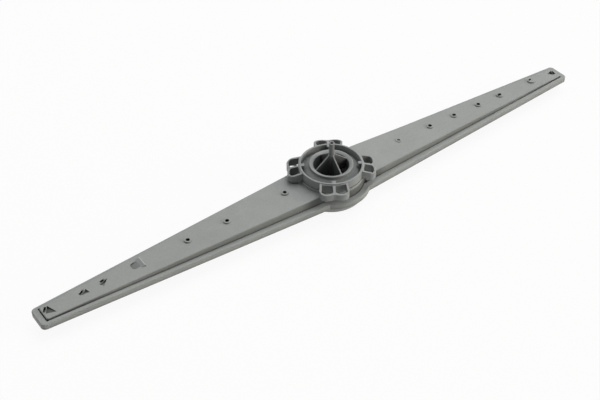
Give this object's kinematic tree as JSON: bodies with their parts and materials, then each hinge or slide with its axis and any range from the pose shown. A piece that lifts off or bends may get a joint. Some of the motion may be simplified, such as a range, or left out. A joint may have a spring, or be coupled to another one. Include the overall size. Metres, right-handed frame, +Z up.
{
  "type": "dishwasher spray arm",
  "caption": "Tapered two-shell spray arm with a row of small jets, a round hub cup, a funnel inlet with a vaned guide post and a free-turning locking nut with looped finger grips.",
  "frame": {"origin": "centre of the round foot under the hub, where the arm stands", "axes": "+X along the arm towards the half with five round jets, +Y across the arm, +Z up along the hub's axis to the guide post"},
  "size_m": [0.47, 0.0618, 0.045],
  "materials": {
    "shell_plastic": "matte, light grey polypropylene",
    "hub_plastic": "matte, light grey polypropylene"
  },
  "bodies": {
    "arm": {"lower_shell": "shell_plastic", "upper_shell": "shell_plastic", "inlet_funnel": "hub_plastic"},
    "nut": {"hub_nut": "hub_plastic"}
  },
  "joints": [
    {"name": "nut_turn", "type": "hinge", "parent": "arm", "child": "nut", "pos_m": [0, 0, 0.02], "axis": [0, 0, 1], "continuous": true}
  ]
}
